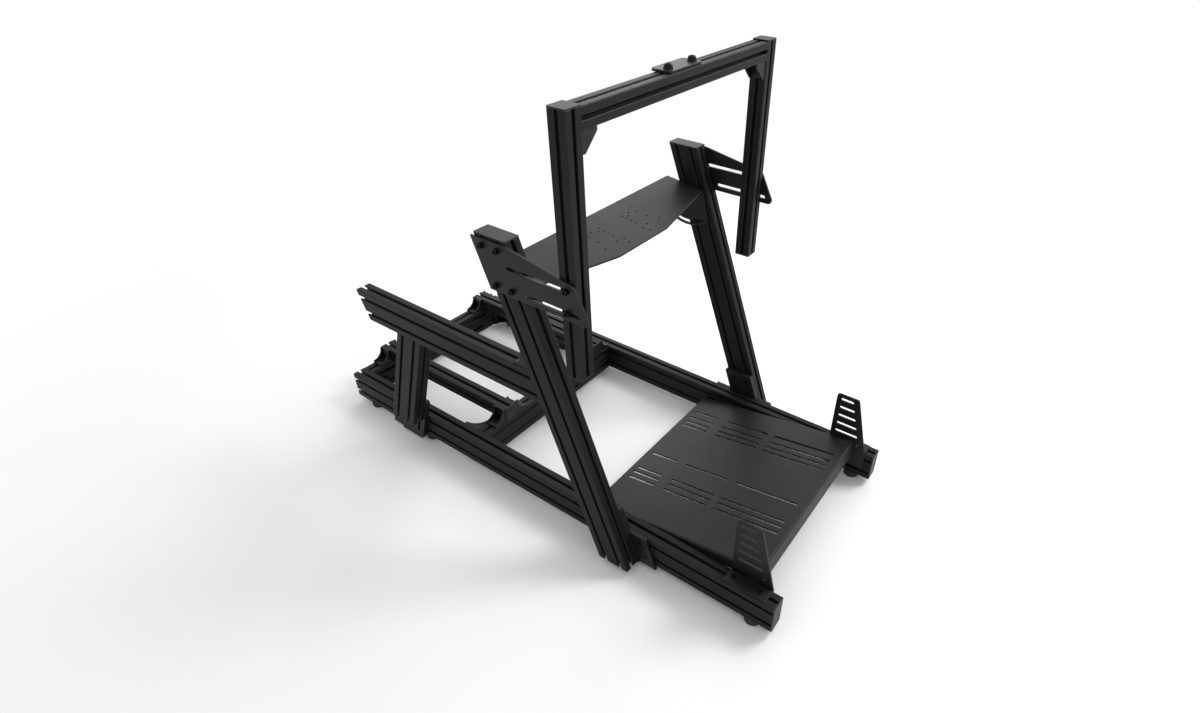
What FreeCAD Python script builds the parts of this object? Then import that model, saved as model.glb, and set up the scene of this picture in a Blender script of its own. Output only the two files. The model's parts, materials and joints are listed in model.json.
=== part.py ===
import FreeCAD, Part
import math
import os

# Sim racing cockpit: an open frame of T-slot aluminium profile with bolted plates.
# Millimetres and degrees. +Z is up, the pedal end points to -Y, the driver's right is -X.
# The origin is on the floor, under the middle of the frame.

# T-slot profile, made of square modules with one slot in the middle of each module's side
module = 40.0
corner_chamfer = 1.5
slot_mouth = 10.8
slot_mouth_depth = 1.3
slot_opening = 8.2
slot_lip = 4.5
slot_width = 20.0
slot_shoulder = 2.0
slot_floor = 8.6
slot_depth = 12.3
core_bore = 6.8
web_between_modules = 6.0

# Flats that stand for the full round of a small hole, or of a slot's two ends together
small_round_flats = 10

# Base frame, whose width is measured over the monitor plates
frame_width = 728.0
rail_length = 1430.0
foot_height = 20.0
foot_radius = 20.0
foot_front_setback = 55.0
foot_middle_setback = 1115.0
foot_rear_inset = 66.0
foot_chamfer = 2.5
cap_thickness = 3.0
mid_cross_setback = 898.0

# Seat beams, on top of the two cross beams
seat_beam_right_x = -173.0
seat_beam_left_x = 207.0

# Uprights and the plates that hold them at their lean
upright_lean = 20.0
upright_setback = 394.0
upright_height = 770.0
bracket_wing = 47.0
bracket_wing_thickness = 8.0
bracket_land_thickness = 14.0
bracket_tab_height = 65.0
bracket_tab_radius = 5.0
bracket_drop = 4.0
bracket_slot_width = 9.0
bracket_slot_margin = 20.0
bracket_slot_end = 20.0

# Wheel deck, a folded sheet between the uprights
deck_sheet = 5.0
deck_bend_radius = 6.0
deck_tilt = 7.0
deck_rear_setback = 716.0
deck_rear_height = 680.0
deck_side_depth = 113.0
deck_middle_depth = 162.0
deck_nose_width = 180.0
deck_nose_offset = -10.0
deck_corner_radius = 8.0
flange_pivot_setback = 646.0
flange_pivot_height = 660.0
flange_slot_radius = 91.0
flange_slot_width = 8.6
flange_slot_angle = -96.0
flange_slot_sweep = 49.0
flange_rim = 6.0
flange_front_angle = -129.0
flange_rear_angle = -65.0
deck_hole = 5.4
deck_hole_column = 43.0
deck_hole_first = 56.0
deck_hole_pitch = 14.0
deck_hole_rows = 4
# Holes beside the column, each by its distance from the middle and its depth from the rear edge
deck_outer_holes = ((56.0, 64.0), (71.0, 55.0), (90.0, 64.0), (91.0, 94.0), (98.0, 36.0),
                    (36.0, 123.0), (41.0, 141.0), (59.0, 119.0), (103.0, 122.0))

# Monitor stand
plate_thickness = 5.0
plate_top_height = 763.0
plate_bottom_height = 655.0
plate_front_setback = 419.0
plate_front_slope = 0.52
plate_front_margin = 15.0
plate_rear_margin = 6.0
plate_corner_radius = 10.0
plate_slot_width = 8.6
plate_slot_rise = 16.0
plate_slot_pitch = 47.0
plate_slot_margin = 17.0
plate_upper_slot = 160.0
plate_lower_slot = 142.0
post_setback = 476.0
post_bottom_height = 514.0
post_top_height = 1047.0
tab_length = 112.0
tab_depth = 47.0
tab_thickness = 5.0
tab_offset = -4.0
tab_front_margin = 4.0
tab_radius = 8.0

# Shifter arm and the short post under it, on the driver's right
arm_bottom_height = 399.0
arm_rear_setback = 1161.0
support_setback = 1017.0
support_foot_height = 80.0
support_bracket_drop = 10.0

# Pedal plate, a slotted tray between the rails
tray_sheet = 4.0
tray_bend_radius = 5.0
tray_tilt = 8.2
tray_length = 470.0
tray_front_setback = 60.0
tray_front_height = 116.0
tray_front_flange = 40.0
tray_side_flange = 30.0
tray_slot_width = 7.0
tray_slot_rows = (180.0, 151.0, 130.0, 111.0, -35.0, -102.0, -121.0, -142.0)
# Start and end of each slot in a row, as shares of the tray's length
tray_slot_spans = ((0.047, 0.421), (0.460, 0.736), (0.794, 0.968))

# Ladder brackets that hold the front of the pedal plate: a leg inside the rail and a foot on the rail,
# joined by a neck with a slit on each side of it
ladder_sheet = 4.0
ladder_foot_width = 37.0
ladder_height = 165.0
ladder_drop = 50.0
ladder_rear_setback = 129.0
ladder_front_setback = 25.0
ladder_top_width = 60.0
ladder_corner_radius = 8.0
ladder_slit = 3.0
ladder_neck_width = 25.0
ladder_slots = 5
ladder_slot_width = 8.0
ladder_slot_first = 46.0
ladder_slot_pitch = 26.0
ladder_slot_rear_margin = 12.0
ladder_slot_front_margin = 17.0
ladder_hole = 6.5
ladder_hole_rise = 21.0
ladder_hole_inset = 25.0

# Cast corner brackets
bracket_leg = 40.0
bracket_width = 36.0
bracket_wall = 4.0
bracket_end = 8.0
bracket_sag = 0.35
base_bracket_leg = 50.0
base_bracket_width = 76.0
base_bracket_hole = 6.0
base_bracket_hole_inset = 13.0

# Places worked out from the driving dimensions
rail_height = 2 * module
rail_bottom = foot_height
rail_top = rail_bottom + rail_height
upright_outer = frame_width / 2 - plate_thickness
upright_inner = upright_outer - module
rail_outer = upright_inner - bracket_land_thickness
rail_inner = rail_outer - module
front_end = -rail_length / 2
rear_end = rail_length / 2
lean_slope = math.tan(math.radians(upright_lean))
lean_width = rail_height / math.cos(math.radians(upright_lean))
foot_places = (front_end + foot_front_setback, front_end + foot_middle_setback, rear_end - foot_rear_inset)
mid_cross_y = front_end + mid_cross_setback
upright_y = front_end + upright_setback
post_y = front_end + post_setback
crossbar_top = rail_bottom + post_top_height - cap_thickness
support_y = front_end + support_setback
arm_bottom = rail_bottom + arm_bottom_height
arm_top = arm_bottom + rail_height
tray_half_width = rail_inner - ladder_sheet

X = FreeCAD.Vector(1, 0, 0)
Y = FreeCAD.Vector(0, 1, 0)
Z = FreeCAD.Vector(0, 0, 1)


def vector(x, y, z=0.0):
    return FreeCAD.Vector(x, y, z)


def placed(shape, origin, x_axis, y_axis):
    """Moves a shape from its own axes to an origin and two axes of the frame."""
    turn = FreeCAD.Rotation(x_axis, y_axis, x_axis.cross(y_axis), "XYZ")
    moved = shape.copy()
    moved.Placement = FreeCAD.Placement(origin, turn)
    return moved


def mirrored(shape):
    """The same piece on the other side of the frame."""
    return shape.mirror(vector(0, 0), X)


def outline(points, radii=()):
    """A flat face through corner points, each rounded by its radius."""
    corners = [vector(x, y) for x, y in points]
    count = len(corners)
    radii = tuple(radii) or (0.0,) * count
    ends = []
    arcs = []
    for index, corner in enumerate(corners):
        before = (corners[index - 1] - corner).normalize()
        after = (corners[(index + 1) % count] - corner).normalize()
        half_angle = before.getAngle(after) / 2
        radius = radii[index]
        if radius == 0:
            ends.append((corner, corner))
            arcs.append(None)
            continue
        reach = radius / math.tan(half_angle)
        bisector = (before + after).normalize()
        middle = corner + bisector * (radius / math.sin(half_angle) - radius)
        ends.append((corner + before * reach, corner + after * reach))
        arcs.append(middle)
    edges = []
    for index in range(count):
        start, stop = ends[index]
        if arcs[index] is not None:
            edges.append(Part.Arc(start, arcs[index], stop).toShape())
        edges.append(Part.makeLine(stop, ends[(index + 1) % count][0]))
    return Part.Face(Part.Wire(edges))


def sheet(points, radii, thickness):
    """A flat plate from its outline."""
    return outline(points, radii).extrude(vector(0, 0, thickness))


def on_circle(centre, radius, angle):
    turn = math.radians(angle)
    return vector(centre[0] + radius * math.cos(turn), centre[1] + radius * math.sin(turn))


def small_arc(centre, radius, first_angle, sweep):
    """Points along a small arc, both ends included, joined by flats."""
    flats = round(small_round_flats * sweep / 360)
    return [on_circle(centre, radius, first_angle + sweep * step / flats) for step in range(flats + 1)]


def small_hole(centre, width):
    """Flat face of a small round hole."""
    return Part.Face(Part.makePolygon(small_arc(centre, width / 2, 0.0, 360.0)))


def oblong(start, stop, width, thickness):
    """A straight slot with round ends, between the centres of its ends."""
    heading = math.degrees(math.atan2(stop[1] - start[1], stop[0] - start[0]))
    points = small_arc(stop, width / 2, heading - 90, 180.0)
    points += small_arc(start, width / 2, heading + 90, 180.0)
    return Part.Face(Part.makePolygon(points + points[:1])).extrude(vector(0, 0, thickness))


def bend_block(width, drop, length, radius):
    """Block hung below the X axis with its two upper edges rounded, for cutting a folded sheet back to.
    It runs along Z, with a module to spare at both ends."""
    half = width / 2
    section = outline([(-half, -drop), (half, -drop), (half, 0), (-half, 0)], (0, 0, radius, radius))
    return section.extrude(vector(0, 0, length + 2 * module)).translated(vector(0, 0, -module))


def arc_slot(centre, radius, first_angle, last_angle, width, thickness):
    """A curved slot with round ends about a centre."""
    middle_angle = (first_angle + last_angle) / 2
    inner = radius - width / 2
    outer = radius + width / 2
    edges = []
    for size, angles in ((outer, (first_angle, middle_angle, last_angle)),
                         (inner, (last_angle, middle_angle, first_angle))):
        edges.append(Part.Arc(*[on_circle(centre, size, angle) for angle in angles]).toShape())
    cap_angle = math.degrees(width / 2 / radius)
    far_tip = on_circle(centre, radius, last_angle + cap_angle)
    near_tip = on_circle(centre, radius, first_angle - cap_angle)
    edges.insert(1, Part.Arc(on_circle(centre, outer, last_angle), far_tip,
                             on_circle(centre, inner, last_angle)).toShape())
    edges.append(Part.Arc(on_circle(centre, inner, first_angle), near_tip,
                          on_circle(centre, outer, first_angle)).toShape())
    return Part.Face(Part.Wire(edges)).extrude(vector(0, 0, thickness))


def slot_half():
    """One side of a T-slot as pairs of half width and depth, from the face inwards."""
    return (
        (slot_mouth / 2, 0.0),
        (slot_opening / 2, slot_mouth_depth),
        (slot_opening / 2, slot_lip),
        (slot_width / 2, slot_lip),
        (slot_width / 2, slot_lip + slot_shoulder),
        (slot_floor / 2, slot_depth),
    )


def chamfered_rectangle(width, height):
    """Flat face of a beam's outer shape or of its cap, centred, with its corners cut."""
    half_width = width / 2
    half_height = height / 2
    short_width = half_width - corner_chamfer
    short_height = half_height - corner_chamfer
    quarter = [(half_width, short_height), (short_width, half_height)]
    upper = quarter + [(-x, y) for x, y in reversed(quarter)]
    return outline(upper + [(-x, -y) for x, y in upper])


def profile_section(modules):
    """The extrusion's section, one module wide along X and some modules tall along Y."""
    half_width = module / 2
    half_height = modules * module / 2
    body = chamfered_rectangle(module, modules * module)
    half = slot_half()
    slot = outline([(width, depth) for width, depth in half]
                   + [(-width, depth) for width, depth in reversed(half)])
    cuts = [placed(slot, vector(0, -half_height), X, Y), placed(slot, vector(0, half_height), -X, -Y)]
    for row in range(modules):
        centre = (row - (modules - 1) / 2) * module
        cuts.append(placed(slot, vector(half_width, centre), Y, -X))
        cuts.append(placed(slot, vector(-half_width, centre), -Y, X))
        cuts.append(small_hole((0.0, centre), core_bore))
    hollow_width = module - 2 * (slot_lip + slot_shoulder)
    hollow_height = module - slot_width - web_between_modules
    for row in range(1, modules):
        centre = row * module - half_height
        cuts.append(outline([(-hollow_width / 2, centre - hollow_height / 2),
                             (hollow_width / 2, centre - hollow_height / 2),
                             (hollow_width / 2, centre + hollow_height / 2),
                             (-hollow_width / 2, centre + hollow_height / 2)]))
    return body.cut(cuts)


single_section = profile_section(1)
double_section = profile_section(2)


def beam(section, start, stop, tall_axis):
    """A length of profile from one point to another, its section's height along tall_axis."""
    run = stop - start
    length = run.Length
    across = tall_axis.cross(run / length)
    return placed(section.extrude(vector(0, 0, length)), start, across, tall_axis)


def leaning_beam(centre_x, centre_y, bottom, top, slope):
    """A double profile that leans along Y, with both ends cut level."""
    axis = vector(0, slope, 1).normalize()
    tall_axis = axis.cross(X) * -1
    spare = vector(0, slope, 1) * rail_height
    low = vector(centre_x, centre_y, bottom)
    high = vector(centre_x, centre_y + slope * (top - bottom), top)
    raw = beam(double_section, low - spare, high + spare, tall_axis)
    reach = abs(slope) * (top - bottom) + 2 * rail_height
    block = Part.makeBox(2 * module, 2 * reach, top - bottom,
                         vector(centre_x - module, centre_y - reach, bottom))
    return raw.common(block)


def upright_rear(height):
    """Place along Y of an upright's rear face at a height."""
    return upright_y + lean_width / 2 + lean_slope * (height - rail_bottom)


def in_side_view(shape, x):
    """Puts a flat piece drawn as Y and Z on a plane across X."""
    return placed(shape, vector(x, 0, 0), Y, Z)


def lean_bracket(centre_y, slope, front_wing, drop):
    """Plate on a rail's outer face that carries a leaning beam on its raised land. Its rear wing is
    always there, its front wing may have no width, and its bottom is a drop below the rail's."""
    half = lean_width / 2
    front = -half - front_wing
    rear = half + bracket_wing
    bottom = rail_bottom - drop
    tab_top = rail_top + bracket_tab_height

    def at(offset, height):
        return (centre_y + offset + slope * (height - rail_bottom), height)

    wings = sheet([at(front, bottom), at(rear, bottom), at(rear, rail_top), at(front, rail_top)],
                  (), bracket_wing_thickness)
    land = sheet([at(-half, bottom), at(half, bottom), at(half, tab_top), at(-half, tab_top)],
                 (0, 0, bracket_tab_radius, bracket_tab_radius), bracket_land_thickness)
    front_slot = -half + bracket_slot_margin
    slot_start = at(front_slot, rail_bottom + bracket_slot_end)
    slot_stop = at(front_slot, rail_top - bracket_slot_end)
    slot = oblong(slot_start, slot_stop, bracket_slot_width, bracket_land_thickness)
    return in_side_view(wings.fuse(land).removeSplitter().cut(slot), rail_outer)


def corner_bracket(leg, width, sag=bracket_sag, angle=90.0):
    """Cast bracket with two legs and two webs, whose free edge sags inwards by a share of its rise.
    The legs lie along X and at the angle to it, the width is centred across Z."""
    turn = math.radians(angle)
    inward = vector(math.sin(turn), -math.cos(turn))
    foot_end = vector(leg, 0)
    foot_tip = vector(leg, bracket_wall)
    foot_top = vector(leg, bracket_end)
    leg_end = vector(math.cos(turn), math.sin(turn)) * leg
    leg_tip = leg_end + inward * bracket_wall
    leg_top = leg_end + inward * bracket_end
    inner_corner = vector(bracket_wall * (1 + math.cos(turn)) / math.sin(turn), bracket_wall)
    legs = outline([(p.x, p.y) for p in (vector(0, 0), foot_end, foot_tip, inner_corner, leg_tip, leg_end)])
    free_edge = Part.makeLine(foot_top, leg_top)
    if sag > 0:
        middle = (foot_top + leg_top) * 0.5
        free_edge = Part.Arc(foot_top, middle + (inner_corner - middle) * sag, leg_top).toShape()
    web = Part.Face(Part.Wire([
        Part.makeLine(inner_corner, foot_tip),
        Part.makeLine(foot_tip, foot_top),
        free_edge,
        Part.makeLine(leg_top, leg_tip),
        Part.makeLine(leg_tip, inner_corner),
    ]))
    solid = legs.extrude(vector(0, 0, width)).translated(vector(0, 0, -width / 2))
    for side in (-width / 2, width / 2 - bracket_wall):
        solid = solid.fuse(web.extrude(vector(0, 0, bracket_wall)).translated(vector(0, 0, side)))
    return solid.removeSplitter()


def base_rail():
    x = -rail_inner - module / 2
    z = rail_bottom + rail_height / 2
    return beam(double_section, vector(x, front_end + cap_thickness, z), vector(x, rear_end, z), Z)


def cross_beam(front_y):
    y = front_y + module / 2
    z = rail_bottom + rail_height / 2
    return beam(double_section, vector(-rail_inner, y, z), vector(rail_inner, y, z), Z)


def seat_beam(x):
    z = rail_top + module / 2
    return beam(single_section, vector(x, mid_cross_y + cap_thickness, z), vector(x, rear_end, z), Z)


def end_cap(width, depth, thickness, origin, x_axis, y_axis):
    """Flat cover over a profile's end, centred on the origin, its thickness on the third axis."""
    cover = chamfered_rectangle(width, depth).extrude(vector(0, 0, thickness))
    return placed(cover, origin, x_axis, y_axis)


def rubber_foot(x, y):
    """Round foot with a chamfered rim, turned about its own axis."""
    half = outline([(0, 0), (foot_radius - foot_chamfer, 0), (foot_radius, foot_chamfer),
                    (foot_radius, foot_height), (0, foot_height)])
    foot = placed(half, vector(0, 0), X, Z).revolve(vector(0, 0), Z, 360)
    return foot.translated(vector(x, y, 0))


def wheel_deck():
    """Folded sheet: a tilted top that widens forward in the middle, and a flange down each upright."""
    turn = math.radians(deck_tilt)
    forward = vector(0, -math.cos(turn), -math.sin(turn))
    normal = vector(0, -math.sin(turn), math.cos(turn))
    rear = vector(0, front_end + deck_rear_setback, rail_bottom + deck_rear_height)
    half = upright_inner
    nose = deck_nose_width / 2
    nose_left = -deck_nose_offset - nose
    nose_right = -deck_nose_offset + nose
    top = sheet([(half, 0), (-half, 0), (-half, deck_side_depth), (nose_left, deck_middle_depth),
                 (nose_right, deck_middle_depth), (half, deck_side_depth)],
                (0, 0, 0, deck_corner_radius, deck_corner_radius, 0), deck_sheet)
    column = [(deck_hole_column, deck_hole_first + row * deck_hole_pitch) for row in range(deck_hole_rows)]
    holes = [small_hole((side * x, depth), deck_hole).extrude(vector(0, 0, deck_sheet))
             for x, depth in column + list(deck_outer_holes) for side in (-1, 1)]
    top = placed(top.cut(holes), rear - normal * deck_sheet, -X, forward)
    pivot = (front_end + flange_pivot_setback, rail_bottom + flange_pivot_height)
    rim_radius = flange_slot_radius + flange_slot_width / 2 + flange_rim
    front_low = on_circle(pivot, rim_radius, flange_front_angle)
    rear_low = on_circle(pivot, rim_radius, flange_rear_angle)
    lowest = on_circle(pivot, rim_radius, (flange_front_angle + flange_rear_angle) / 2)
    rear_high = vector(rear.y, rear.z)
    edge = vector(forward.y, forward.z) * deck_side_depth
    front_high = rear_high + edge
    flange = Part.Face(Part.Wire([
        Part.Arc(front_low, lowest, rear_low).toShape(),
        Part.makeLine(rear_low, rear_high),
        Part.makeLine(rear_high, front_high),
        Part.makeLine(front_high, front_low),
    ])).extrude(vector(0, 0, deck_sheet))
    half_sweep = flange_slot_sweep / 2
    flange = flange.cut(arc_slot(pivot, flange_slot_radius, flange_slot_angle - half_sweep,
                                 flange_slot_angle + half_sweep, flange_slot_width, deck_sheet))
    left = in_side_view(flange, upright_inner - deck_sheet)
    folded = top.fuse([left, mirrored(left)]).removeSplitter()
    bends = bend_block(2 * half, deck_rear_height, deck_middle_depth, deck_bend_radius)
    return folded.common(placed(bends, rear, X, normal))


def monitor_plate():
    """Side plate on an upright's outer face, with two slots that carry a monitor post."""
    top = rail_bottom + plate_top_height
    bottom = rail_bottom + plate_bottom_height
    slots = ((bottom + plate_slot_rise, plate_lower_slot),
             (bottom + plate_slot_rise + plate_slot_pitch, plate_upper_slot))
    front_top = slots[-1][0] + plate_front_margin

    def front_edge(height):
        return front_end + plate_front_setback + plate_front_slope * (height - bottom)

    def rear_edge(height):
        return upright_rear(height) + plate_rear_margin

    bend = upright_rear(top) - lean_width
    plate = sheet([(front_edge(bottom), bottom), (rear_edge(bottom), bottom), (rear_edge(top), top),
                   (bend, top), (front_edge(front_top), front_top)],
                  (plate_corner_radius, 0, 0, 0, plate_corner_radius), plate_thickness)
    tip = plate_slot_width / 2
    for height, length in slots:
        start = front_edge(height) + plate_slot_margin + tip
        stop = start + length - plate_slot_width
        plate = plate.cut(oblong((start, height), (stop, height), plate_slot_width, plate_thickness))
    return in_side_view(plate, upright_outer)


def monitor_post():
    x = upright_outer - module / 2
    low = vector(x, post_y, rail_bottom + post_bottom_height + cap_thickness)
    high = vector(x, post_y, crossbar_top)
    return beam(single_section, low, high, Y)


def monitor_crossbar():
    reach = upright_outer - module
    z = crossbar_top - module / 2
    return beam(single_section, vector(-reach, post_y, z), vector(reach, post_y, z), Z)


def crossbar_tab():
    """Small flat plate on the middle of the crossbar."""
    half = tab_length / 2
    front = tab_front_margin - module / 2
    rear = front + tab_depth
    plate = sheet([(-half, front), (half, front), (half, rear), (-half, rear)],
                  (tab_radius,) * 4, tab_thickness)
    return plate.translated(vector(tab_offset, post_y, crossbar_top))


def shifter_arm():
    """Level beam behind the right upright, both ends cut to the upright's lean."""
    x = -upright_outer + module / 2
    z = arm_bottom + rail_height / 2
    rear_low = front_end + arm_rear_setback
    rear_high = rear_low + lean_slope * rail_height
    raw = beam(double_section, vector(x, upright_rear(arm_bottom) - module, z),
               vector(x, rear_high + module, z), Z)
    block = sheet([(upright_rear(arm_bottom), arm_bottom), (rear_low, arm_bottom),
                   (rear_high, arm_top), (upright_rear(arm_top), arm_top)], (), 2 * module)
    return raw.common(in_side_view(block, x - module))


def pedal_plate():
    """Slotted tray with a turned-down front and sides, raised at the front."""
    turn = math.radians(tray_tilt)
    rearward = vector(0, math.cos(turn), -math.sin(turn))
    half = tray_half_width
    top = Part.makeBox(2 * half, tray_length, tray_sheet, vector(-half, 0, -tray_sheet))
    front = Part.makeBox(2 * half, tray_sheet, tray_front_flange, vector(-half, 0, -tray_front_flange))
    sides = [Part.makeBox(tray_sheet, tray_length, tray_side_flange, vector(x, 0, -tray_side_flange))
             for x in (-half, half - tray_sheet)]
    tray = top.fuse([front] + sides).removeSplitter()
    side_bends = bend_block(2 * half, tray_length, tray_length, tray_bend_radius)
    tray = tray.common(placed(side_bends, vector(0, tray_length), X, Z))
    front_bend = bend_block(4 * tray_length, tray_length, 2 * half, tray_bend_radius)
    tray = tray.common(placed(front_bend, vector(-half, 2 * tray_length), Y, Z))
    end = tray_slot_width / 2
    slots = []
    for x in tray_slot_rows:
        for start, stop in tray_slot_spans:
            slot = oblong((x, start * tray_length + end), (x, stop * tray_length - end),
                          tray_slot_width, tray_sheet)
            slots.append(slot.translated(vector(0, 0, -tray_sheet)))
    origin = vector(0, front_end + tray_front_setback, rail_bottom + tray_front_height)
    return placed(tray.cut(slots), origin, X, rearward)


def pedal_bracket():
    """Ladder bracket: a tapered leg with a row of slots, and a foot on the rail's top."""
    rear = front_end + ladder_rear_setback
    front = front_end + ladder_front_setback
    bottom = rail_top - ladder_drop
    top = rail_top + ladder_height
    leg = sheet([(front, bottom), (rear, bottom), (rear, top), (rear - ladder_top_width, top),
                 (front, rail_top)], (0, 0, ladder_corner_radius, ladder_corner_radius, 0), ladder_sheet)
    taper = (rear - ladder_top_width - front) / ladder_height
    tip = ladder_slot_width / 2
    for index in range(ladder_slots):
        rise = ladder_slot_first + index * ladder_slot_pitch
        start = (front + taper * rise + ladder_slot_front_margin + tip, rail_top + rise)
        stop = (rear - ladder_slot_rear_margin - tip, rail_top + rise)
        leg = leg.cut(oblong(start, stop, ladder_slot_width, ladder_sheet))
    hole = small_hole((front + ladder_hole_inset, rail_top + ladder_hole_rise), ladder_hole)
    leg = in_side_view(leg.cut(hole.extrude(vector(0, 0, ladder_sheet))), rail_inner - ladder_sheet)
    foot = Part.makeBox(ladder_foot_width - ladder_slit, rear - front, ladder_sheet,
                        vector(rail_inner + ladder_slit, front, rail_top))
    neck_front = (front + rear - ladder_neck_width) / 2
    neck = Part.makeBox(ladder_slit, ladder_neck_width, ladder_sheet,
                        vector(rail_inner, neck_front, rail_top))
    return leg.fuse([foot, neck]).removeSplitter()


def mid_cross_brackets():
    """Pair of tall brackets in the corners between the rails and the middle cross beam's rear face."""
    z = rail_bottom + rail_height / 2
    hole = small_hole((base_bracket_hole_inset, base_bracket_hole_inset), base_bracket_hole)
    through = hole.extrude(vector(0, 0, base_bracket_width))
    bracket = corner_bracket(base_bracket_leg, base_bracket_width)
    bracket = bracket.cut(through.translated(vector(0, 0, -base_bracket_width / 2)))
    first = placed(bracket, vector(-rail_inner, mid_cross_y + module, z), X, Y)
    return [first, mirrored(first)]


def rear_cross_brackets():
    """Pair of small brackets in the lower slots, between the rails and the rear cross beam's front face."""
    z = rail_bottom + module / 2
    bracket = corner_bracket(bracket_leg, bracket_width)
    first = placed(bracket, vector(-rail_inner, rear_end - module, z), X, -Y)
    return [first, mirrored(first)]


def seat_brackets(x):
    """Brackets at both ends and on both sides of a seat beam, standing on the cross beams."""
    bracket = corner_bracket(bracket_leg, bracket_width)
    pieces = []
    for y in (mid_cross_y + module / 2, rear_end - module / 2):
        for side in (-1, 1):
            pieces.append(placed(bracket, vector(x + side * module / 2, y, rail_top), X * side, Z))
    return pieces


def crossbar_brackets():
    z = crossbar_top - module
    bracket = corner_bracket(bracket_leg, bracket_width, sag=0.0)
    first = placed(bracket, vector(-upright_outer + module, post_y, z), X, -Z)
    return [first, mirrored(first)]


def arm_bracket():
    """Bracket in the sharp corner between the arm's top and the upright's rear face."""
    x = -upright_outer + module / 2
    bracket = corner_bracket(bracket_leg, bracket_width, angle=90 - upright_lean)
    return placed(bracket, vector(x, upright_rear(arm_top), arm_top), Y, Z)


rail_right = base_rail()
upright_right = leaning_beam(-upright_outer + module / 2, upright_y, rail_bottom,
                             rail_bottom + upright_height - cap_thickness, lean_slope)
plate_left = monitor_plate()
post_left = monitor_post()
ladder_left = pedal_bracket()
bracket_left = lean_bracket(upright_y, lean_slope, bracket_wing, bracket_drop)
support_slope = -lean_slope
support_foot_y = support_y - support_slope * (arm_bottom_height - support_foot_height)
support_base_y = support_y - support_slope * arm_bottom_height
support_bracket = lean_bracket(support_base_y, support_slope, 0.0, support_bracket_drop)

rail_x = -rail_inner - module / 2
upright_x = -upright_outer + module / 2
rail_cap = end_cap(module, rail_height, cap_thickness,
                   vector(rail_x, front_end + cap_thickness, rail_bottom + rail_height / 2), X, Z)
upright_cap_z = rail_bottom + upright_height - cap_thickness
upright_cap_y = upright_y + lean_slope * (upright_height - cap_thickness)
upright_cap = end_cap(module, lean_width, cap_thickness,
                      vector(upright_x, upright_cap_y, upright_cap_z), X, Y)
post_cap_heights = (post_bottom_height, post_top_height - cap_thickness)
post_caps = [end_cap(module, module, cap_thickness, vector(upright_x, post_y, rail_bottom + height), X, Y)
             for height in post_cap_heights]
seat_caps = [end_cap(module, module, cap_thickness,
                     vector(x, mid_cross_y + cap_thickness, rail_top + module / 2), X, Z)
             for x in (seat_beam_right_x, seat_beam_left_x)]
feet = [rubber_foot(side * (rail_inner + module / 2), y) for side in (-1, 1) for y in foot_places]

parts = {
    "base_rail_right": [rail_right],
    "base_rail_left": [mirrored(rail_right)],
    "mid_cross_beam": [cross_beam(mid_cross_y)],
    "rear_cross_beam": [cross_beam(rear_end - module)],
    "seat_beam_right": [seat_beam(seat_beam_right_x)],
    "seat_beam_left": [seat_beam(seat_beam_left_x)],
    "upright_right": [upright_right],
    "upright_left": [mirrored(upright_right)],
    "upright_bracket_right": [mirrored(bracket_left)],
    "upright_bracket_left": [bracket_left],
    "wheel_deck": [wheel_deck()],
    "monitor_plate_right": [mirrored(plate_left)],
    "monitor_plate_left": [plate_left],
    "monitor_post_right": [mirrored(post_left)],
    "monitor_post_left": [post_left],
    "monitor_crossbar": [monitor_crossbar()],
    "crossbar_corner_brackets": crossbar_brackets(),
    "crossbar_tab": [crossbar_tab()],
    "shifter_arm": [shifter_arm()],
    "shifter_arm_bracket": [arm_bracket()],
    "shifter_post": [leaning_beam(-upright_outer + module / 2, support_foot_y,
                                  rail_bottom + support_foot_height, arm_bottom, support_slope)],
    "shifter_post_bracket": [mirrored(support_bracket)],
    "pedal_plate": [pedal_plate()],
    "pedal_bracket_right": [mirrored(ladder_left)],
    "pedal_bracket_left": [ladder_left],
    "mid_cross_corner_brackets": mid_cross_brackets(),
    "rear_cross_corner_brackets": rear_cross_brackets(),
    "seat_beam_brackets_right": seat_brackets(seat_beam_right_x),
    "seat_beam_brackets_left": seat_brackets(seat_beam_left_x),
    "rail_end_caps": [rail_cap, mirrored(rail_cap)],
    "upright_end_caps": [upright_cap, mirrored(upright_cap)],
    "monitor_post_end_caps": post_caps + [mirrored(cap) for cap in post_caps],
    "seat_beam_end_caps": seat_caps,
    "rubber_feet": feet,
}

os.makedirs("parts", exist_ok=True)
for name, solids in parts.items():
    shape = solids[0] if len(solids) == 1 else Part.makeCompound(solids)
    shape.exportStep("parts/" + name + ".step")
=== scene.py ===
"""Looks of an open racing simulator frame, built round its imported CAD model."""
import json
import math

import bpy
from mathutils import Matrix, Vector


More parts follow.
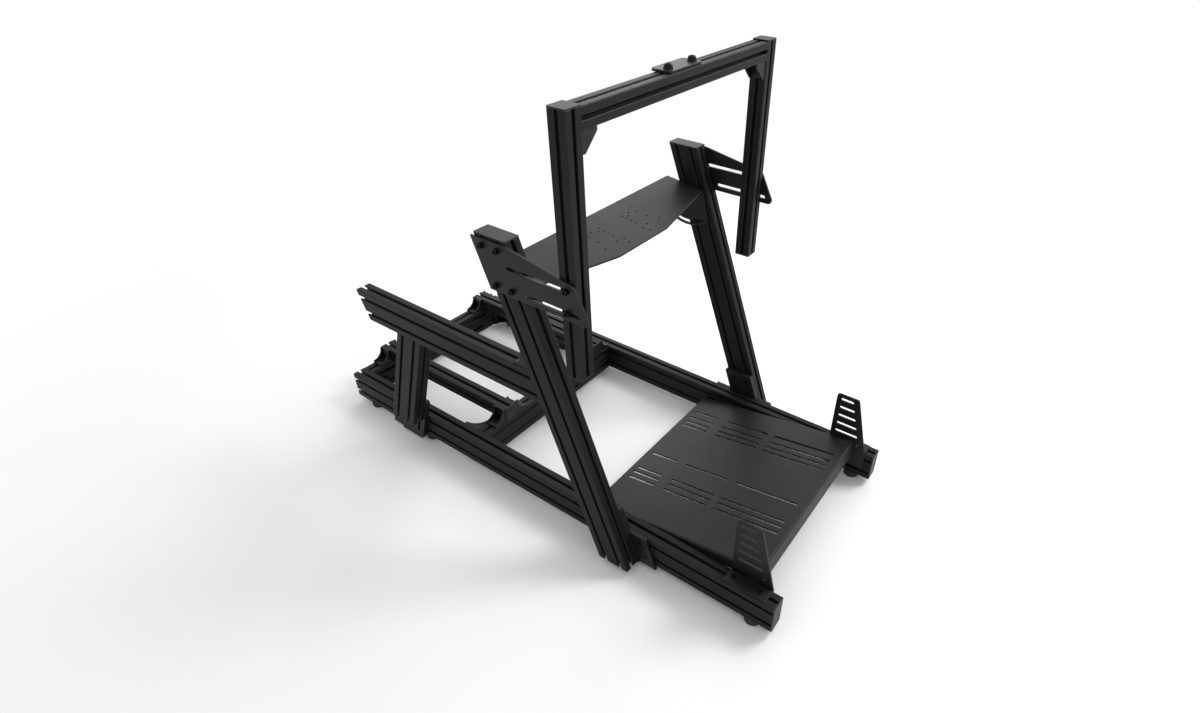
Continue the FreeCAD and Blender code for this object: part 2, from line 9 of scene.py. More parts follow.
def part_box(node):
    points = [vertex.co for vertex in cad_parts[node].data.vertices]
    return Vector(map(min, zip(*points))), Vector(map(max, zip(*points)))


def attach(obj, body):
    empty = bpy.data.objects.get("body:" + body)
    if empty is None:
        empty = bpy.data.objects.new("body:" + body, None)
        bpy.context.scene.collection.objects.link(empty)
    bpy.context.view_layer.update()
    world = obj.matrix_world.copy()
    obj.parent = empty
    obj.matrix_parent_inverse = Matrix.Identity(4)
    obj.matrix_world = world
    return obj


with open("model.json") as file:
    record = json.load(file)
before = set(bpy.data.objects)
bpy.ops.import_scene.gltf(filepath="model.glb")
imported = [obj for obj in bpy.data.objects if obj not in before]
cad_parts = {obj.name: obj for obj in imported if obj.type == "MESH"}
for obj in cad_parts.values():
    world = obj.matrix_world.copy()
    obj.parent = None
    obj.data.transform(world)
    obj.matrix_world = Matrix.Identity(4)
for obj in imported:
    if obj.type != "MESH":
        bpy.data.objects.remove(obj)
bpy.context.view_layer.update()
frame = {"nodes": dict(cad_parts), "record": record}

bl_info = {
    "name": "Racing simulator frame",
    "version": (1, 0, 0),
    "blender": (4, 5, 0),
    "location": "3D View > Sidebar > Cockpit",
    "description": "Dresses the slotted aluminium frame with its finishes and screws, and sets the studio",
    "category": "Object",
}

MM = 0.001

# Places that the screws take from the CAD nodes
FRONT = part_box("rail_end_caps")[0].y
RAIL_BOTTOM, RAIL_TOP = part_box("base_rail_left")[0].z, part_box("base_rail_left")[1].z
RAIL_INNER, RAIL_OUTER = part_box("base_rail_left")[0].x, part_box("base_rail_left")[1].x
RAIL_SLOT = (RAIL_INNER + RAIL_OUTER) / 2
UPRIGHT_INNER, UPRIGHT_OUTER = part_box("upright_left")[0].x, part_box("upright_left")[1].x
PLATE_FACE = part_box("monitor_plate_left")[1].x
POST = (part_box("monitor_post_left")[0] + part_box("monitor_post_left")[1]) / 2
CROSSBAR_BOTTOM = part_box("monitor_crossbar")[0].z
TAB_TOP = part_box("crossbar_tab")[1].z
MODULE = RAIL_OUTER - RAIL_INNER

# The leaning beams: their slope, where the upright's axis meets the rail's bottom, and how far its two slots
# are from that axis along the level
LEAN = math.radians(20)
UPRIGHT_FOOT = FRONT + 394 * MM
UPRIGHT_SLOT = MODULE / 2 / math.cos(LEAN)

# Thicknesses of the pieces that the screws' heads sit on
DECK_SHEET = 5 * MM
LADDER_SHEET = 4 * MM
BRACKET_WING = 8 * MM
CASTING_WALL = 4 * MM

# Rows of screws: heights above the rail's bottom, setbacks from the front, and places across the frame
PLATE_SCREW_RISES = (668.6 * MM, 748.6 * MM)
POST_SCREW_RISES = (671 * MM, 718 * MM)
WING_SCREW_RISES = (20 * MM, 60 * MM)
LAND_SCREW_RISES = (88 * MM, 124 * MM)
DECK_SCREW_SETBACK, DECK_SCREW_RISE = 622 * MM, 573 * MM
LADDER_SCREW_SETBACKS = (45.6 * MM, 114 * MM)
TAB_SCREW_PLACES = (-42 * MM, 40 * MM)

# How far the side plates' screws are behind the upright's slots, and the tab's behind the posts' middle
PLATE_SCREW_SHIFT = 4 * MM
TAB_SCREW_SHIFT = 2 * MM

# Bracket plates: how wide a wing is, and how far from the beam its screws are
WING_WIDTH = 47 * MM
WING_SCREW_REACH = 25 * MM

# Cast brackets: how far along a leg its screw is
TALL_BRACKET_REACH = 29 * MM
SMALL_BRACKET_REACH = 24 * MM
CROSSBAR_BRACKET_REACH = 22 * MM
ARM_BRACKET_REACH = 26 * MM

# A Mix node's sockets by number: its share, two numbers and their result, two colours and theirs
SHARE, FIRST, SECOND, NUMBER = 0, 2, 3, 0
DARK, LIGHT, COLOUR = 6, 7, 2


def linear(hex_colour):
    """Linear colour of an sRGB hex value."""
    parts = [int(hex_colour[at:at + 2], 16) / 255 for at in (0, 2, 4)]
    return [part / 12.92 if part <= 0.04045 else ((part + 0.055) / 1.055) ** 2.4 for part in parts] + [1.0]


def add(tree, kind, inputs=None, **settings):
    """Adds a node, with its settings, and its inputs as values or as links."""
    node = tree.nodes.new(kind)
    for name, value in settings.items():
        setattr(node, name, value)
    for name, value in (inputs or {}).items():
        if isinstance(value, bpy.types.NodeSocket):
            tree.links.new(value, node.inputs[name])
        else:
            node.inputs[name].default_value = value
    return node


def surface(name):
    """A new material with its node tree, its shader and its object coordinates."""
    material = bpy.data.materials.new(name)
    material.use_nodes = True
    tree = material.node_tree
    shader = tree.nodes["Principled BSDF"]
    place = add(tree, "ShaderNodeTexCoord").outputs["Object"]
    return material, tree, shader, place


def openness(tree, reach, closed, open_from):
    """How open a spot is, from 0 deep in a slot or a hole to 1 on a free face, within a reach: it sets where
    painted shade darkens the slots and holes.
    """
    around = add(tree, "ShaderNodeAmbientOcclusion", {"Distance": reach}, samples=8, only_local=True)
    return add(tree, "ShaderNodeMapRange", {"Value": around.outputs["AO"], "From Min": closed,
                                            "From Max": open_from}).outputs[0]


def on_edge(tree, rounded):
    """How much a spot is on an edge, from 0 on a flat face to 1, where the finish is smoother and has a
    painted highlight.
    """
    face = add(tree, "ShaderNodeNewGeometry")
    alike = add(tree, "ShaderNodeVectorMath", {0: rounded, 1: face.outputs["Normal"]},
                operation="DOT_PRODUCT")
    return add(tree, "ShaderNodeMapRange", {"Value": alike.outputs["Value"], "From Min": 0.98,
                                            "From Max": 0.8}).outputs[0]


def paint_edge_highlight_and_recess_shade(tree, shader, colours, tone, gloss, rounded, unshaded, polished):
    """Gives a shader its colour and roughness: a painted highlight that lightens its edges, where it is also
    smoother, and painted shade that darkens its slots and holes."""
    highlight_and_polish = on_edge(tree, rounded)
    # Painted highlight: the edges are lightened towards the edge highlight colour.
    edge_highlight = add(tree, "ShaderNodeMix", {SHARE: highlight_and_polish, DARK: tone, LIGHT: colours.edge_highlight}, data_type="RGBA")
    # Painted shade: slots and holes are darkened towards the dark shade colour.
    shaded = add(tree, "ShaderNodeMix",
                 {SHARE: unshaded, DARK: colours.recess_shade, LIGHT: edge_highlight.outputs[COLOUR]}, data_type="RGBA")
    smooth = add(tree, "ShaderNodeMix", {SHARE: highlight_and_polish, FIRST: gloss, SECOND: polished})
    tree.links.new(shaded.outputs[COLOUR], shader.inputs["Base Color"])
    tree.links.new(smooth.outputs[NUMBER], shader.inputs["Roughness"])


def anodised_profile(name, turn, colours):
    """Aluminium extrusion, bead blasted and dyed black in the anodising bath: a satin sheen with faint
    lines from the die along the beam, painted shade inside the slots, and a thin painted highlight on every
    edge.
    The die lines are about 0.6 mm apart and are drawn 4 mm apart, so that they show."""
    material, tree, shader, place = surface(name)
    along = add(tree, "ShaderNodeMapping", {"Vector": place, "Rotation": turn,
                                            "Scale": (4 * MM, 4 * MM, 900 * MM)}, vector_type="TEXTURE")
    lines = add(tree, "ShaderNodeTexNoise", {"Vector": along.outputs[0], "Scale": 1.0, "Detail": 3.0})
    grit = add(tree, "ShaderNodeTexNoise", {"Vector": place, "Scale": 1 / (1.4 * MM), "Detail": 2.0})
    cloud = add(tree, "ShaderNodeTexNoise", {"Vector": place, "Scale": 1 / (160 * MM), "Detail": 2.0})
    tone = add(tree, "ShaderNodeMix", {SHARE: cloud.outputs["Fac"], DARK: colours.profile_dark,
                                       LIGHT: colours.profile_light}, data_type="RGBA")
    gloss = add(tree, "ShaderNodeMapRange", {"Value": lines.outputs["Fac"], "From Min": 0.3, "From Max": 0.7,
                                             "To Min": 0.45, "To Max": 0.53})
    rounded = add(tree, "ShaderNodeBevel", {"Radius": 1.6 * MM}, samples=6).outputs[0]
    relief = add(tree, "ShaderNodeBump", {"Strength": 0.12, "Distance": 0.1 * MM,
                                          "Height": grit.outputs["Fac"], "Normal": rounded})
    # Painted shade: ambient occlusion within 14 mm darkens the slots' insides.
    unshaded = openness(tree, reach=14 * MM, closed=0.3, open_from=0.62)
    paint_edge_highlight_and_recess_shade(tree, shader, colours, tone.outputs[COLOUR], gloss.outputs[0], rounded, unshaded, polished=0.3)
    tree.links.new(relief.outputs[0], shader.inputs["Normal"])
    shader.inputs["Specular IOR Level"].default_value = 0.17
    return material


def powder_coat(name, colours):
    """Steel plate under a fine-textured black powder coat: a matt skin of small round grains, softly bright
    along the cut and bent edges from their rounding and a painted highlight, with painted shade in the holes
    and slots. The grains are about 0.5 mm and are drawn 2 mm wide, so that they show."""
    material, tree, shader, place = surface(name)
    grain = add(tree, "ShaderNodeTexNoise", {"Vector": place, "Scale": 1 / (2 * MM), "Detail": 2.0})
    cloud = add(tree, "ShaderNodeTexNoise", {"Vector": place, "Scale": 1 / (120 * MM), "Detail": 3.0})
    specks = add(tree, "ShaderNodeMapRange",
                 {"Value": grain.outputs["Fac"], "From Min": 0.35, "From Max": 0.65})
    tone = add(tree, "ShaderNodeMix", {SHARE: specks.outputs[0], DARK: colours.plate_dark,
                                       LIGHT: colours.plate_light}, data_type="RGBA")
    gloss = add(tree, "ShaderNodeMapRange", {"Value": cloud.outputs["Fac"], "From Min": 0.3, "From Max": 0.7,
                                             "To Min": 0.41, "To Max": 0.49})
    rounded = add(tree, "ShaderNodeBevel", {"Radius": 1.2 * MM}, samples=6).outputs[0]
    relief = add(tree, "ShaderNodeBump", {"Strength": 0.3, "Distance": 0.25 * MM,
                                          "Height": grain.outputs["Fac"], "Normal": rounded})
    # Painted shade: ambient occlusion within 9 mm darkens the holes' and slots' insides.
    unshaded = openness(tree, reach=9 * MM, closed=0.5, open_from=0.95)
    paint_edge_highlight_and_recess_shade(tree, shader, colours, tone.outputs[COLOUR], gloss.outputs[0], rounded, unshaded, polished=0.32)
    tree.links.new(relief.outputs[0], shader.inputs["Normal"])
    shader.inputs["Specular IOR Level"].default_value = 0.24
    return material


def coated_casting(name, colours):
    """Die-cast aluminium under a satin black coat: slightly wavy faces and soft, rounded edges.
    The waves are about 6 mm long."""
    material, tree, shader, place = surface(name)
    wave = add(tree, "ShaderNodeTexNoise", {"Vector": place, "Scale": 1 / (6 * MM), "Detail": 2.0})
    tone = add(tree, "ShaderNodeMix", {SHARE: wave.outputs["Fac"], DARK: colours.casting_dark,
                                       LIGHT: colours.casting_light}, data_type="RGBA")
    rounded = add(tree, "ShaderNodeBevel", {"Radius": 1.5 * MM}, samples=6).outputs[0]
    relief = add(tree, "ShaderNodeBump", {"Strength": 0.2, "Distance": 0.3 * MM,
                                          "Height": wave.outputs["Fac"], "Normal": rounded})
    tree.links.new(tone.outputs[COLOUR], shader.inputs["Base Color"])
    tree.links.new(relief.outputs[0], shader.inputs["Normal"])
    shader.inputs["Roughness"].default_value = 0.42
    shader.inputs["Specular IOR Level"].default_value = 0.26
    return material


def moulded_nylon(name, colours):
    """Injection-moulded black nylon with a spark-eroded skin: paler and more matt than the profile.
    The skin's pits are about 0.3 mm and are drawn 1.5 mm wide, so that they show."""
    material, tree, shader, place = surface(name)
    pits = add(tree, "ShaderNodeTexNoise", {"Vector": place, "Scale": 1 / (1.5 * MM), "Detail": 2.0})
    tone = add(tree, "ShaderNodeMix", {SHARE: pits.outputs["Fac"], DARK: colours.cap_dark,
                                       LIGHT: colours.cap_light}, data_type="RGBA")
    rounded = add(tree, "ShaderNodeBevel", {"Radius": 1.2 * MM}, samples=6).outputs[0]
    relief = add(tree, "ShaderNodeBump", {"Strength": 0.2, "Distance": 0.15 * MM,
                                          "Height": pits.outputs["Fac"], "Normal": rounded})
    tree.links.new(tone.outputs[COLOUR], shader.inputs["Base Color"])
    tree.links.new(relief.outputs[0], shader.inputs["Normal"])
    shader.inputs["Roughness"].default_value = 0.5
    shader.inputs["Specular IOR Level"].default_value = 0.28
    return material


def moulded_rubber(name, colours):
    """Moulded black rubber: nearly no shine, with a faint grey bloom in patches about 15 mm wide."""
    material, tree, shader, place = surface(name)
    bloom = add(tree, "ShaderNodeTexNoise", {"Vector": place, "Scale": 1 / (15 * MM), "Detail": 4.0})
    tone = add(tree, "ShaderNodeMix", {SHARE: bloom.outputs["Fac"], DARK: colours.foot_dark,
                                       LIGHT: colours.foot_light}, data_type="RGBA")
    tree.links.new(tone.outputs[COLOUR], shader.inputs["Base Color"])
    shader.inputs["Roughness"].default_value = 0.8
    shader.inputs["Specular IOR Level"].default_value = 0.3
    return material


def black_oxide_steel(name, colours):
    """Steel screws with an oiled black oxide skin: nearly black, with a small sharp glint on each rim.
    The skin is uneven over about 3 mm."""
    material, tree, shader, place = surface(name)
    patch = add(tree, "ShaderNodeTexNoise", {"Vector": place, "Scale": 1 / (3 * MM), "Detail": 3.0})
    tone = add(tree, "ShaderNodeMix", {SHARE: patch.outputs["Fac"], DARK: colours.screw_dark,
                                       LIGHT: colours.screw_light}, data_type="RGBA")
    gloss = add(tree, "ShaderNodeMapRange", {"Value": patch.outputs["Fac"], "From Min": 0.3, "From Max": 0.7,
                                             "To Min": 0.3, "To Max": 0.42})
    tree.links.new(tone.outputs[COLOUR], shader.inputs["Base Color"])
    tree.links.new(gloss.outputs[0], shader.inputs["Roughness"])
    shader.inputs["Specular IOR Level"].default_value = 0.15
    return material


def begin_modelling():
    """Leaves every object deselected, in object mode."""
    if bpy.context.object and bpy.context.object.mode != "OBJECT":
        bpy.ops.object.mode_set(mode="OBJECT")
    bpy.ops.object.select_all(action="DESELECT")


def screw_head(width, height, rim, crown, socket, depth):
    """A screw head on the floor of its own axes: a disc drawn up to its height, its top rim rounded,
    its top narrowed to a crown where it is a button head, and a hexagon socket cut into it."""
    begin_modelling()
    bpy.ops.mesh.primitive_circle_add(vertices=24, radius=width / 2, fill_type="NGON")
    head = bpy.context.object
    bpy.ops.object.mode_set(mode="EDIT")
    bpy.ops.mesh.select_all(action="SELECT")
    bpy.ops.mesh.extrude_region_move(TRANSFORM_OT_translate={"value": (0, 0, height)})
    bpy.ops.transform.resize(value=(crown, crown, 1), center_override=(0, 0, height))
    bpy.ops.mesh.bevel(offset=rim, segments=3, affect="EDGES")
    bpy.ops.object.mode_set(mode="OBJECT")
    across_corners = socket / math.cos(math.radians(30))
    bpy.ops.mesh.primitive_cylinder_add(vertices=6, radius=across_corners / 2, depth=2 * depth,
                                        location=(0, 0, height))
    key = bpy.context.object
    bpy.ops.object.select_all(action="DESELECT")
    bpy.context.view_layer.objects.active = head
    head.select_set(True)
    cut = head.modifiers.new("socket", "BOOLEAN")
    cut.operation = "DIFFERENCE"
    cut.object = key
    bpy.ops.object.modifier_apply(modifier=cut.name)
    bpy.data.objects.remove(key)
    bpy.ops.object.mode_set(mode="EDIT")
    bpy.ops.mesh.select_all(action="SELECT")
    bpy.ops.mesh.normals_make_consistent(inside=False)
    bpy.ops.object.mode_set(mode="OBJECT")
    bpy.ops.object.shade_smooth_by_angle(angle=math.radians(35))
    return head


def button_head(sizes):
    """The plain button head of the wheel deck's and the corner brackets' screws."""
    return screw_head(sizes.button_width, sizes.button_height,
                      rim=1.6 * MM, crown=0.8, socket=5 * MM, depth=2.4 * MM)


def set_out(pattern, name, seats):
    """Copies a pattern to every seat, each a point and the direction that the head looks, as one mesh."""
    begin_modelling()
    for point, looks in seats:
        turn = Vector(looks).to_track_quat("Z", "Y").to_matrix().to_4x4()
        copy = pattern.copy()
        copy.data = pattern.data.copy()
        copy.matrix_world = Matrix.Translation(point) @ turn
        bpy.context.scene.collection.objects.link(copy)
        copy.select_set(True)
        bpy.context.view_layer.objects.active = copy
    bpy.ops.object.transform_apply(location=True, rotation=True, scale=True)
    bpy.ops.object.join()
    piece = bpy.context.object
    piece.name = name
    piece.data.name = name
    bpy.data.objects.remove(pattern)
    piece.data.materials.clear()
    piece.data.materials.append(bpy.data.materials["black_oxide_steel"])
    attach(piece, "root")


def mirrored(seats):
    """The same seats on the frame's other side."""
    return [((-point[0], point[1], point[2]), (-looks[0], looks[1], looks[2])) for point, looks in seats]


def both_sides(seats):
    """The seats given for the left side, and the same on the right."""
    return seats + mirrored(seats)


def colour(name, description, hex_colour):
    """A colour that a user may change, given as an sRGB hex value."""
    return bpy.props.FloatVectorProperty(name=name, description=description, subtype="COLOR", size=4,
                                         min=0.0, max=1.0, default=linear(hex_colour))


def length(name, description, size):
    """A length that a user may change."""
    return bpy.props.FloatProperty(name=name, description=description, unit="LENGTH", default=size)


class CockpitColours(bpy.types.PropertyGroup):
    """The finishes' colours, most of them as a darker and a lighter shade."""
    profile_dark: colour("Profile, dark", "Darker shade of the anodised profile", "0D0D0E")
    profile_light: colour("Profile, light", "Lighter shade of the anodised profile", "141415")
    plate_dark: colour("Plate, dark", "Darker shade of the powder-coated plates", "0B0B0C")
    plate_light: colour("Plate, light", "Lighter shade of the powder-coated plates", "1E1E1F")
    casting_dark: colour("Casting, dark", "Darker shade of the corner brackets", "0D0D0E")
    casting_light: colour("Casting, light", "Lighter shade of the corner brackets", "141415")
    cap_dark: colour("Cap, dark", "Darker shade of the nylon end caps", "161617")
    cap_light: colour("Cap, light", "Lighter shade of the nylon end caps", "1F1F20")
    foot_dark: colour("Foot, dark", "Darker shade of the rubber feet", "242424")
    foot_light: colour("Foot, light", "Lighter shade of the rubber feet", "2E2E2E")
    screw_dark: colour("Screw, dark", "Darker shade of the screws", "060607")
    screw_light: colour("Screw, light", "Lighter shade of the screws", "0C0C0D")
    # Painted highlight colour for the edges of the profile and plates
    edge_highlight: colour("Painted edge highlight", "Painted highlight on the edges of the profile and plates", "4E4E50")
    # Painted shade colour for the slots' and holes' insides
    recess_shade: colour("Painted shade in recesses", "Painted shade inside the profile's and plates' slots and holes", "020202")
    floor: colour("Floor", "Studio paper under the frame", "FAFAFA")


class CockpitSizes(bpy.types.PropertyGroup):
    """The screw heads' widths and heights."""
    cap_width: length("Cap head width", "Across a cap screw's head", 13 * MM)
    cap_height: length("Cap head height", "Height of a cap screw's head", 8 * MM)
    tab_width: length("Tab head width", "Across the domed screws on the crossbar's tab", 20 * MM)
    tab_height: length("Tab head height", "Height of the domed screws on the crossbar's tab", 9.5 * MM)
    button_width: length("Button head width", "Across a button screw's head", 13 * MM)
    button_height: length("Button head height", "Height of a button screw's head", 3.4 * MM)
    ladder_height: length("Ladder head height", "Height of the ladder brackets' low button heads", 2.4 * MM)
    flush_width: length("Flush head width", "Across a sunk screw's head", 11 * MM)
    flush_height: length("Flush head height", "How far a sunk head stands proud", 0.8 * MM)


class COCKPIT_OT_finishes(bpy.types.Operator):
    """Makes the finishes and gives every CAD node its own"""
    bl_idname = "cockpit.finishes"
    bl_label = "Finishes"

    def execute(self, context):
        colours = context.scene.cockpit_colours
        quarter = math.radians(90)
        runs = {
            "lengthwise": ((-quarter, 0, 0), ("base_rail_right", "base_rail_left", "seat_beam_right",
                                              "seat_beam_left", "shifter_arm")),
            "crosswise": ((0, quarter, 0), ("mid_cross_beam", "rear_cross_beam", "monitor_crossbar")),
            "upright": ((0, 0, 0), ("monitor_post_right", "monitor_post_left")),
            "leaning_back": ((-LEAN, 0, 0), ("upright_right", "upright_left")),
            "leaning_forward": ((LEAN, 0, 0), ("shifter_post",)),
        }
        finish_of = {}
        for run, (turn, nodes) in runs.items():
            material = anodised_profile("satin_black_anodised_aluminium_" + run, turn, colours)
            finish_of.update((node, material) for node in nodes)
        by_slot = {
            "plate": powder_coat("fine_textured_black_powder_coat", colours),
            "casting": coated_casting("satin_black_coated_die_casting", colours),
            "cap": moulded_nylon("moulded_black_nylon", colours),
            "foot": moulded_rubber("moulded_black_rubber", colours),
        }
        black_oxide_steel("black_oxide_steel", colours)
        for subpart in frame["record"]["subparts"]:
            node = subpart["node"]
            material = finish_of.get(node) or by_slot[subpart["material_slot"]]
            materials = frame["nodes"][node].data.materials
            materials.clear()
            materials.append(material)
        return {"FINISHED"}


class COCKPIT_OT_cap_screws(bpy.types.Operator):
    """Tall socket cap screws on the monitor side plates, and domed ones on the crossbar's tab"""
    bl_idname = "cockpit.cap_screws"
    bl_label = "Cap screws"

    def execute(self, context):
        sizes = context.scene.cockpit_sizes
        head = screw_head(sizes.cap_width, sizes.cap_height,
                          rim=0.9 * MM, crown=1.0, socket=6 * MM, depth=4 * MM)
        seats = []
        for rise in PLATE_SCREW_RISES:
            for side in (-1, 1):
                y = UPRIGHT_FOOT + math.tan(LEAN) * rise + side * UPRIGHT_SLOT + PLATE_SCREW_SHIFT
                seats.append(((PLATE_FACE, y, RAIL_BOTTOM + rise), (1, 0, 0)))
        for rise in POST_SCREW_RISES:
            seats.append(((PLATE_FACE, POST.y, RAIL_BOTTOM + rise), (1, 0, 0)))
        set_out(head, "cap_screws", both_sides(seats))
        dome = screw_head(sizes.tab_width, sizes.tab_height,
                          rim=2.4 * MM, crown=0.74, socket=8 * MM, depth=4 * MM)
        y = POST.y + TAB_SCREW_SHIFT
        set_out(dome, "tab_screws", [((x, y, TAB_TOP), (0, 0, 1)) for x in TAB_SCREW_PLACES])
        return {"FINISHED"}


class COCKPIT_OT_button_screws(bpy.types.Operator):
    """Button screws in the wheel deck's curved slots and in the ladder brackets' feet"""
    bl_idname = "cockpit.button_screws"
    bl_label = "Button screws"

    def execute(self, context):
        sizes = context.scene.cockpit_sizes
        place = (UPRIGHT_INNER - DECK_SHEET, FRONT + DECK_SCREW_SETBACK, RAIL_BOTTOM + DECK_SCREW_RISE)
        set_out(button_head(sizes), "button_screws", both_sides([(place, (-1, 0, 0))]))
        low_head = screw_head(sizes.button_width, sizes.ladder_height,
                              rim=0.8 * MM, crown=0.9, socket=6 * MM, depth=2 * MM)
        seats = [((RAIL_SLOT, FRONT + setback, RAIL_TOP + LADDER_SHEET), (0, 0, 1))
                 for setback in LADDER_SCREW_SETBACKS]
        set_out(low_head, "ladder_screws", both_sides(seats))
        return {"FINISHED"}


class COCKPIT_OT_flush_screws(bpy.types.Operator):
    """Sunk screws that hold the leaning beams' bracket plates to the rails and to the beams"""
    bl_idname = "cockpit.flush_screws"
    bl_label = "Flush screws"

    def execute(self, context):
        sizes = context.scene.cockpit_sizes
        head = screw_head(sizes.flush_width, sizes.flush_height,
                          rim=0.3 * MM, crown=1.0, socket=5 * MM, depth=0.6 * MM)
        low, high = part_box("shifter_post_bracket")
        slope = math.tan(LEAN)
        support_foot = high.y - MODULE / math.cos(LEAN) - WING_WIDTH - slope * (RAIL_BOTTOM - low.z)
        upright = self.seats(UPRIGHT_FOOT, slope, wings=(-1, 1))
        support = self.seats(support_foot, -slope, wings=(1,))
        set_out(head, "flush_screws", upright + support + mirrored(upright))
        return {"FINISHED"}

    def seats(self, foot, slope, wings):
        """On a right-hand bracket plate's wings, in front (-1) or behind (1), and on the raised land."""
        reach = MODULE / math.cos(LEAN) + WING_SCREW_REACH
        found = []
        for rise in WING_SCREW_RISES:
            for wing in wings:
                y = foot + slope * rise + wing * reach
                found.append(((-RAIL_OUTER - BRACKET_WING, y, RAIL_BOTTOM + rise), (-1, 0, 0)))
        for rise in LAND_SCREW_RISES:
            for side in (-1, 1):
                y = foot + slope * rise + side * UPRIGHT_SLOT
                found.append(((-RAIL_OUTER, y, RAIL_BOTTOM + rise), (1, 0, 0)))
        return found


class COCKPIT_OT_bracket_screws(bpy.types.Operator):
    """Socket screws inside the cast corner brackets"""
    bl_idname = "cockpit.bracket_screws"
    bl_label = "Bracket screws"

    def execute(self, context):
        seats = self.base_seats() + self.seat_beam_seats() + self.crossbar_seats() + self.arm_seats()
        set_out(button_head(context.scene.cockpit_sizes), "bracket_screws", seats)
        return {"FINISHED"}

    def base_seats(self):
        """In the corners between the rails and the cross beams."""
        seats = []
        for face, side, reach, rises in (
                (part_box("mid_cross_beam")[1].y, 1, TALL_BRACKET_REACH, (MODULE / 2, MODULE * 3 / 2)),
                (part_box("rear_cross_beam")[0].y, -1, SMALL_BRACKET_REACH, (MODULE / 2,))):
            for rise in rises:
                z = RAIL_BOTTOM + rise
                seats += both_sides([((RAIL_INNER - reach, face + side * CASTING_WALL, z), (0, side, 0)),
                                     ((RAIL_INNER - CASTING_WALL, face + side * reach, z), (-1, 0, 0))])
        return seats

    def seat_beam_seats(self):
        """On both sides of the seat beams, over the cross beams."""
        seats = []
        for node in ("seat_beam_right", "seat_beam_left"):
            low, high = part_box(node)
            for cross in ("mid_cross_beam", "rear_cross_beam"):
                y = (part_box(cross)[0].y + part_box(cross)[1].y) / 2
                for x, side in ((low.x, -1), (high.x, 1)):
                    seats.append(((x + side * SMALL_BRACKET_REACH, y, RAIL_TOP + CASTING_WALL), (0, 0, 1)))
                    seats.append(((x + side * CASTING_WALL, y, RAIL_TOP + MODULE / 2), (side, 0, 0)))
        return seats

    def crossbar_seats(self):
        """Under the ends of the crossbar."""
        inner = UPRIGHT_OUTER - MODULE
        reach = CROSSBAR_BRACKET_REACH
        return both_sides([((inner - reach, POST.y, CROSSBAR_BOTTOM - CASTING_WALL), (0, 0, -1)),
                           ((inner - CASTING_WALL, POST.y, CROSSBAR_BOTTOM - reach), (-1, 0, 0))])

    def arm_seats(self):
        """In the sharp corner between the shifter arm and the upright."""
        low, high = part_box("shifter_arm")
        corner = Vector(((low.x + high.x) / 2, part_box("shifter_arm_bracket")[0].y, high.z))
        up_lean = Vector((0, math.sin(LEAN), math.cos(LEAN)))
        off_lean = Vector((0, math.cos(LEAN), -math.sin(LEAN)))
        return [(corner + Vector((0, SMALL_BRACKET_REACH, CASTING_WALL)), (0, 0, 1)),
                (corner + up_lean * ARM_BRACKET_REACH + off_lean * CASTING_WALL, off_lean)]


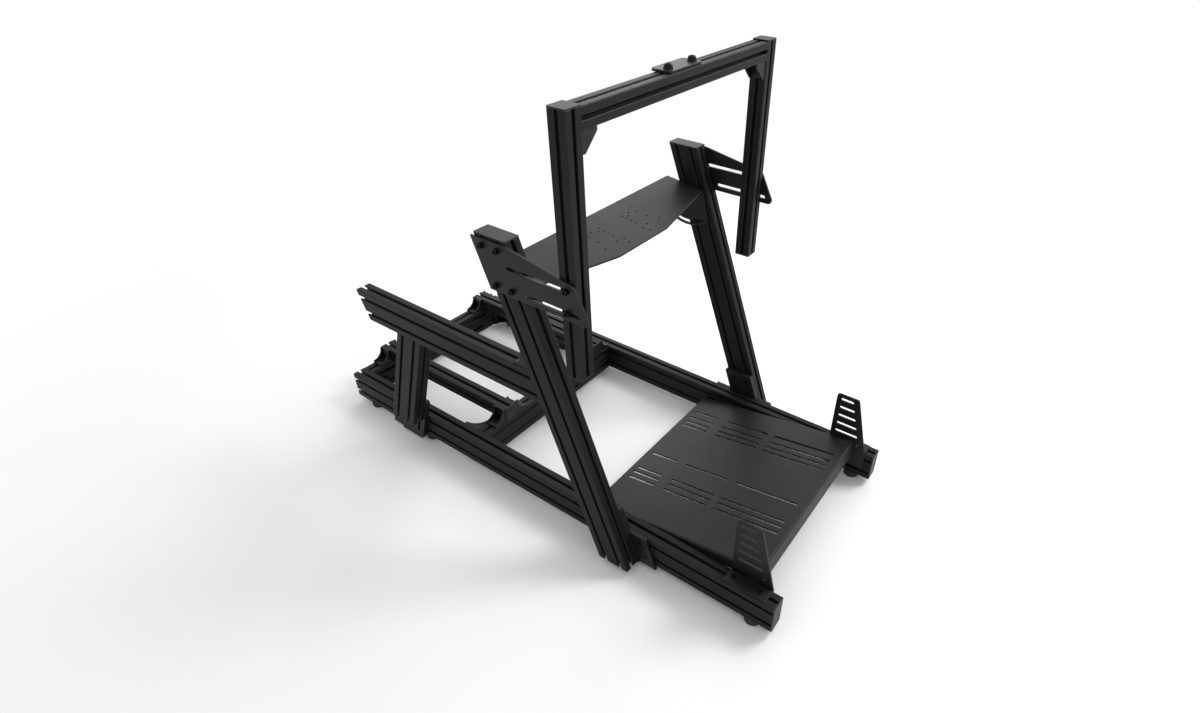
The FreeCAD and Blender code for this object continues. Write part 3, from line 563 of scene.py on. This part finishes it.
class COCKPIT_OT_stage(bpy.types.Operator):
    """White studio floor and world, soft lamps and the camera"""
    bl_idname = "cockpit.stage"
    bl_label = "Stage"

    def execute(self, context):
        begin_modelling()
        bpy.ops.mesh.primitive_plane_add(size=60)
        floor = context.object
        floor.name = "studio_floor"
        floor.data.materials.append(self.white_floor())
        self.world()
        self.lamps()
        self.camera()
        return {"FINISHED"}

    def white_floor(self):
        """Matt white paper that keeps the shadow near the object and runs out to plain white."""
        material, tree, shader, place = surface("matt_white_studio_paper")
        shader.inputs["Base Color"].default_value = bpy.context.scene.cockpit_colours.floor
        shader.inputs["Roughness"].default_value = 0.9
        shader.inputs["Specular IOR Level"].default_value = 0.1
        shadow_reach, white_from = 0.8, 2.4
        away = add(tree, "ShaderNodeVectorMath", {0: place}, operation="LENGTH")
        fade = add(tree, "ShaderNodeMapRange", {"Value": away.outputs["Value"], "From Min": shadow_reach,
                                                "From Max": white_from}, interpolation_type="SMOOTHSTEP")
        white = add(tree, "ShaderNodeEmission", {"Color": (1, 1, 1, 1), "Strength": 1.0})
        share = add(tree, "ShaderNodeMath", {0: fade.outputs[0], 1: self.seen(tree)}, operation="MULTIPLY")
        mix = add(tree, "ShaderNodeMixShader",
                  {0: share.outputs[0], 1: shader.outputs[0], 2: white.outputs[0]})
        tree.links.new(mix.outputs[0], tree.nodes["Material Output"].inputs["Surface"])
        return material

    def seen(self, tree):
        """1 for the rays that show the background, straight, in a gloss or through glass, and 0 for the
        rays that light the object."""
        rays = add(tree, "ShaderNodeLightPath").outputs
        open_air = add(tree, "ShaderNodeMath", {0: rays["Is Camera Ray"], 1: rays["Is Glossy Ray"]},
                       operation="MAXIMUM")
        return add(tree, "ShaderNodeMath", {0: open_air.outputs[0], 1: rays["Is Transmission Ray"]},
                   operation="MAXIMUM").outputs[0]

    def world(self):
        """White where it is seen, and a plain level of light on the object."""
        world = bpy.data.worlds.new("white_studio")
        bpy.context.scene.world = world
        world.use_nodes = True
        tree = world.node_tree
        fill_light, plain_white = 0.74, 1.0
        level = add(tree, "ShaderNodeMapRange",
                    {"Value": self.seen(tree), "To Min": fill_light, "To Max": plain_white})
        background = tree.nodes["Background"]
        background.inputs["Color"].default_value = (1, 1, 1, 1)
        tree.links.new(level.outputs[0], background.inputs["Strength"])

    def lamps(self):
        """Three softboxes on the driver's left: over the frame, past the seat end and past the pedal end."""
        aim = Vector((0, 0, 0.3))
        for name, place, size, power in (("key_softbox", (2.0, 0.3, 2.8), 3.0, 20.0),
                                         ("back_softbox", (2.4, 2.2, 1.3), 1.6, 22.0),
                                         ("front_softbox", (1.6, -1.7, 2.6), 1.1, 50.0)):
            lamp = bpy.data.lights.new(name, "AREA")
            lamp.shape = "SQUARE"
            lamp.size = size
            lamp.energy = power
            holder = bpy.data.objects.new(name, lamp)
            bpy.context.scene.collection.objects.link(holder)
            turn = (aim - Vector(place)).to_track_quat("-Z", "Y").to_matrix().to_4x4()
            holder.matrix_world = Matrix.Translation(place) @ turn

    def camera(self):
        """The view from the driver's right and the pedal end, from above."""
        scene = bpy.context.scene
        data = bpy.data.cameras.new("camera")
        data.sensor_fit = "HORIZONTAL"
        data.sensor_width = 36.0
        # The lens and the centre of the view, in pixels of the picture
        picture_width, picture_height = 1200, 713
        focal, centre_x, centre_y = 700.89, 669.99, 360.67
        data.lens = focal / picture_width * data.sensor_width
        data.shift_x = (picture_width / 2 - centre_x) / picture_width
        data.shift_y = (centre_y - picture_height / 2) / picture_width
        data.clip_end = 100
        holder = bpy.data.objects.new("camera", data)
        scene.collection.objects.link(holder)
        place = (-1.1892, -1.0155, 1.3853)
        ahead = Vector((0.67963, 0.44842, -0.58053)).normalized()
        right = Vector((0.56344, -0.82587, 0.02168)).normalized()
        above = right.cross(ahead)
        turn = Matrix((right, above, -ahead)).transposed().to_4x4()
        holder.matrix_world = Matrix.Translation(place) @ turn
        scene.camera = holder
        scene.view_settings.view_transform = "Standard"


class COCKPIT_PT_panel(bpy.types.Panel):
    """Lists the cockpit's tools, and its colours and sizes"""
    bl_idname = "COCKPIT_PT_panel"
    bl_label = "Cockpit"
    bl_space_type = "VIEW_3D"
    bl_region_type = "UI"
    bl_category = "Cockpit"

    def draw(self, context):
        for operator in OPERATORS:
            self.layout.operator(operator.bl_idname)
        for group in (context.scene.cockpit_colours, context.scene.cockpit_sizes):
            for name in group.__annotations__:
                self.layout.prop(group, name)


OPERATORS = (COCKPIT_OT_finishes, COCKPIT_OT_cap_screws, COCKPIT_OT_button_screws, COCKPIT_OT_flush_screws,
             COCKPIT_OT_bracket_screws, COCKPIT_OT_stage)
CLASSES = (CockpitColours, CockpitSizes) + OPERATORS + (COCKPIT_PT_panel,)


def register():
    """Makes the tools and their settings known to Blender."""
    for item in CLASSES:
        bpy.utils.register_class(item)
    bpy.types.Scene.cockpit_colours = bpy.props.PointerProperty(type=CockpitColours)
    bpy.types.Scene.cockpit_sizes = bpy.props.PointerProperty(type=CockpitSizes)


def unregister():
    """Takes the tools and their settings out again."""
    del bpy.types.Scene.cockpit_sizes
    del bpy.types.Scene.cockpit_colours
    for item in reversed(CLASSES):
        bpy.utils.unregister_class(item)


def main():
    """Dresses the frame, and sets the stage."""
    register()
    bpy.ops.cockpit.finishes()
    bpy.ops.cockpit.cap_screws()
    bpy.ops.cockpit.button_screws()
    bpy.ops.cockpit.flush_screws()
    bpy.ops.cockpit.bracket_screws()
    bpy.ops.cockpit.stage()


if __name__ == "__main__":
    main()
